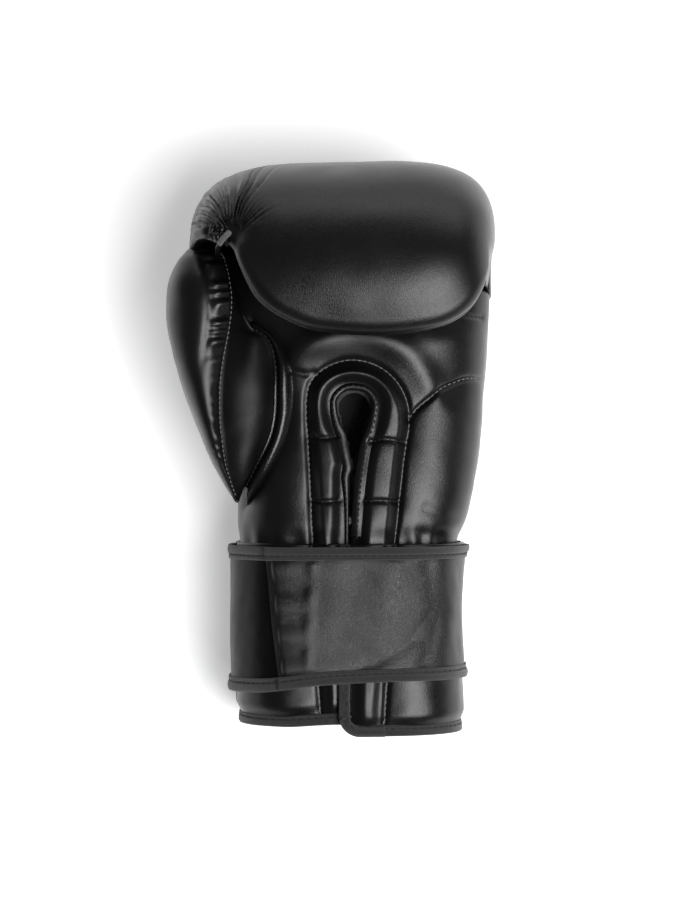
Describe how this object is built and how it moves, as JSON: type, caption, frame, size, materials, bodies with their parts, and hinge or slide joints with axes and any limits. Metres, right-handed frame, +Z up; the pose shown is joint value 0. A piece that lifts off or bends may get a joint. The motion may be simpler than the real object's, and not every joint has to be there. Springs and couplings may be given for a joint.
{
  "type": "boxing glove",
  "caption": "Left-hand boxing glove with padded curled fist, attached thumb, slit palm and a wide hook-and-loop wrist strap that opens.",
  "frame": {"origin": "middle of the glove's bounding box at its lowest face, the flat patch in the middle of the back that it rests on", "axes": "+Y from the wrist opening to the knuckles, +X from the thumb to the little finger, +Z up out of the palm"},
  "size_m": [0.1701, 0.3, 0.136],
  "materials": {
    "cover_leather": "satin",
    "strap_leather": "satin",
    "binding": "matte",
    "lining": "matte",
    "foam": "matte",
    "loop_tape": "matte",
    "hook_tape": "matte",
    "tab": "matte"
  },
  "bodies": {
    "root": {"back_centre_cover": "cover_leather", "back_foam": "foam", "back_lining": "lining", "back_side_cover": "cover_leather", "cuff_back_binding": "binding", "cuff_back_cover": "cover_leather", "cuff_back_foam": "foam", "cuff_back_lining": "lining", "loop_tape": "loop_tape", "palm_lining": "lining", "palm_top_cover": "cover_leather", "palm_top_foam": "foam", "pinky_heel_cover": "cover_leather", "pinky_heel_foam": "foam", "slit_binding": "binding", "slit_channel_cover": "cover_leather", "slit_channel_foam": "foam", "strap_anchor": "strap_leather", "thumb_gusset": "cover_leather", "thumb_heel_cover": "cover_leather", "thumb_heel_foam": "foam"},
    "cuff_thumb_flap": {"cuff_thumb_binding": "binding", "cuff_thumb_cover": "cover_leather", "cuff_thumb_foam": "foam", "cuff_thumb_lining": "lining"},
    "cuff_pinky_flap": {"cuff_pinky_binding": "binding", "cuff_pinky_cover": "cover_leather", "cuff_pinky_foam": "foam", "cuff_pinky_lining": "lining"},
    "strap_side": {"strap_side_leather": "strap_leather", "strap_side_low_binding": "binding", "strap_side_top_binding": "binding"},
    "strap_palm": {"strap_palm_leather": "strap_leather", "strap_palm_low_binding": "binding", "strap_palm_top_binding": "binding"},
    "strap_tail": {"hook_tape": "hook_tape", "strap_tail_leather": "strap_leather", "strap_tail_low_binding": "binding", "strap_tail_top_binding": "binding"},
    "fist": {"finger_lining": "lining", "fist_cover": "cover_leather", "fist_dense_foam": "foam", "fist_soft_foam": "foam", "grip_bar_cover": "lining", "grip_bar_foam": "foam"},
    "thumb": {"thumb_foam": "foam", "thumb_inner_cover": "cover_leather", "thumb_lining": "lining", "thumb_lock_tab": "tab", "thumb_outer_cover": "cover_leather"}
  },
  "joints": [
    {"name": "strap_open", "type": "hinge", "parent": "root", "child": "strap_side", "pos_m": [0.0743, -0.087, 0.044], "axis": [0, 1, 0], "range_deg": [0, 80]},
    {"name": "strap_bend_palm", "type": "hinge", "parent": "strap_side", "child": "strap_palm", "pos_m": [0.06116, -0.087, 0.07755], "axis": [0, 1, 0], "range_deg": [0, 80]},
    {"name": "strap_bend_tail", "type": "hinge", "parent": "strap_palm", "child": "strap_tail", "pos_m": [-0.04216, -0.087, 0.07755], "axis": [0, 1, 0], "range_deg": [0, 80]},
    {"name": "thumb_flap_open", "type": "hinge", "parent": "root", "child": "cuff_thumb_flap", "pos_m": [-0.0517, -0.098, 0.045], "axis": [0, -1, 0], "range_deg": [0, 12]},
    {"name": "pinky_flap_open", "type": "hinge", "parent": "root", "child": "cuff_pinky_flap", "pos_m": [0.0707, -0.098, 0.045], "axis": [0, 1, 0], "range_deg": [0, 12]},
    {"name": "fist_flex", "type": "hinge", "parent": "root", "child": "fist", "pos_m": [0.0055, 0.085, 0.005], "axis": [-1, 0, 0], "range_deg": [0, 12], "stiffness_Nm_per_rad": 2, "springref_deg": -3.44},
    {"name": "thumb_flex", "type": "hinge", "parent": "root", "child": "thumb", "pos_m": [-0.046, -0.027, 0.078], "axis": [0, 0, 1], "range_deg": [0, 6], "stiffness_Nm_per_rad": 0.5, "springref_deg": -1.15}
  ],
  "couplings": [
    {"joint": "strap_bend_palm", "follows": "strap_open", "ratio": 1},
    {"joint": "strap_bend_tail", "follows": "strap_open", "ratio": 1},
    {"joint": "thumb_flap_open", "follows": "strap_open", "ratio": 0.15},
    {"joint": "pinky_flap_open", "follows": "strap_open", "ratio": 0.15}
  ]
}
